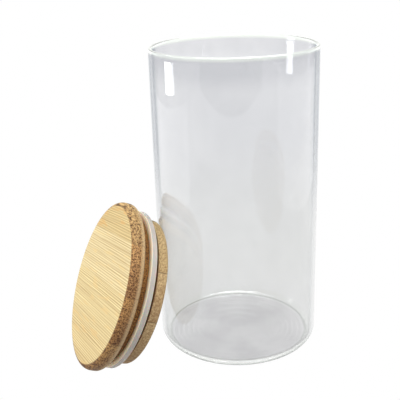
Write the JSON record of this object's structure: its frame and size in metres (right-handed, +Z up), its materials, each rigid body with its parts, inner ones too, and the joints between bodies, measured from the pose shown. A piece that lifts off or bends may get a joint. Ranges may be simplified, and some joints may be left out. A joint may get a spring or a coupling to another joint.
{
  "type": "lidded glass canister",
  "caption": "Straight clear glass storage jar with a turned bamboo lid and a silicone sealing ring; the lid is off and leans against the glass.",
  "frame": {"origin": "centre of the jar's base, on the table", "axes": "+Z up along the jar's axis; the lid leans on the jar's -X side, in the XZ plane"},
  "size_m": [0.1347, 0.0874, 0.1595],
  "materials": {
    "glass": "clear borosilicate glass, fire-polished rim",
    "silicone": "translucent milky silicone, soft satin",
    "bamboo_face": "pale sanded bamboo, straight grain",
    "bamboo_plug": "sanded bamboo end grain, darker"
  },
  "bodies": {
    "jar": {"jar_glass": "glass"},
    "lid": {"cap_strip_1": "bamboo_face", "cap_strip_2": "bamboo_face", "cap_strip_3": "bamboo_face", "cap_strip_4": "bamboo_face", "middle_strip_1": "bamboo_plug", "middle_strip_2": "bamboo_plug", "middle_strip_3": "bamboo_plug", "middle_strip_4": "bamboo_plug", "bottom_strip_1": "bamboo_plug", "bottom_strip_2": "bamboo_plug", "bottom_strip_3": "bamboo_plug", "bottom_strip_4": "bamboo_plug", "seal_ring": "silicone"}
  },
  "joints": [
    {"name": "lid_lift", "type": "slide", "parent": "jar", "child": "lid", "axis": [0, 0, 1], "range_m": [0, 0.17]}
  ]
}
